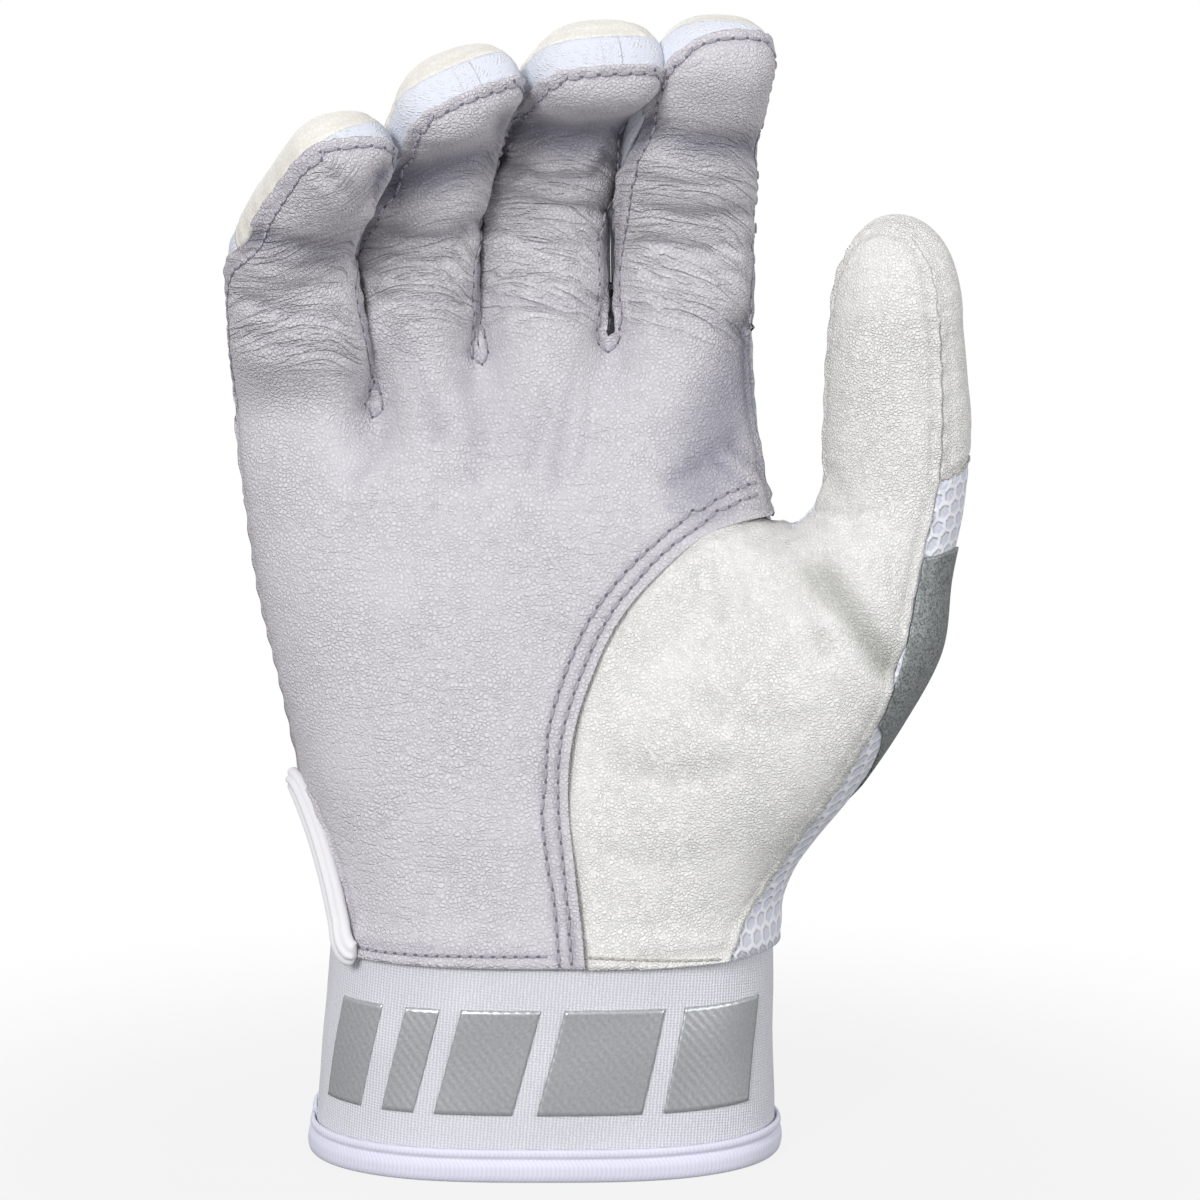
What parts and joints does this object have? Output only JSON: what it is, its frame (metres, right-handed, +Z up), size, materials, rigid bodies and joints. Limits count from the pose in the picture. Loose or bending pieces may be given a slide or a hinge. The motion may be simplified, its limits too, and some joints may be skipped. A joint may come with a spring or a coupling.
{
  "type": "batting glove",
  "caption": "Open-cuffed leather batting glove for the right hand: slightly curled fingers, mesh back, knit webs, and a wrist band that a hook-and-loop strap closes over the back",
  "frame": {"origin": "middle of the base of the bounding box, on the lower edge of the cuff's binding", "axes": "+Z up along the fingers, -Y out of the palm, +X to the thumb side"},
  "size_m": [0.1288, 0.0732, 0.2007],
  "materials": {
    "palm_leather": "soft, fine-grained, matt",
    "thumb_leather": "soft, pebbled, matt",
    "back_leather": "smooth, matt",
    "mesh_cloth": "open hexagonal mesh",
    "knuckle_knit": "stretch knit",
    "knit_ribbon": "ribbed knit",
    "silver_glitter": "glitter film on cloth",
    "elastic_band": "elastic twill",
    "edge_binding": "folded stretch tape",
    "hook_tape": "short stiff hooks",
    "loop_tape": "napped loops",
    "pull_tab": "smooth, matt",
    "rolled_tape": "rolled knit tape",
    "foil": "pressed silver foil",
    "thread": "twisted thread"
  },
  "bodies": {
    "glove": {"palm_leather": "palm_leather", "hand_back_mesh": "mesh_cloth", "thumb_gusset_mesh": "mesh_cloth", "thumb_leather": "thumb_leather", "thumb_back_leather": "thumb_leather", "silver_overlay": "silver_glitter", "cuff_band": "elastic_band", "cuff_binding": "edge_binding", "loop_patch": "loop_tape", "vent_binding": "rolled_tape", "seam_thread_1": "thread", "seam_thread_2": "thread", "palm_hem_thread": "thread", "fourchette_pinky_ring": "knit_ribbon", "fourchette_ring_middle": "knit_ribbon", "fourchette_middle_index": "knit_ribbon", "finger_back_pinky": "back_leather", "knuckle_knit_pinky": "knuckle_knit", "tip_thread_pinky": "thread", "finger_back_ring": "back_leather", "knuckle_knit_ring": "knuckle_knit", "tip_thread_ring": "thread", "finger_back_middle": "back_leather", "knuckle_knit_middle": "knuckle_knit", "tip_thread_middle": "thread", "finger_back_index": "back_leather", "knuckle_knit_index": "knuckle_knit", "tip_thread_index": "thread", "foil_bar_1": "foil", "foil_bar_2": "foil", "foil_bar_3": "foil", "foil_bar_4": "foil", "foil_bar_5": "foil"},
    "strap": {"strap": "elastic_band", "strap_binding": "edge_binding", "hook_patch": "hook_tape", "pull_tab": "pull_tab"}
  },
  "joints": [
    {"name": "strap_opening", "type": "hinge", "parent": "glove", "child": "strap", "pos_m": [-0.05189, 0.00766, 0.003], "axis": [0.0884, 0, 0.9961], "range_deg": [0, 100]}
  ]
}
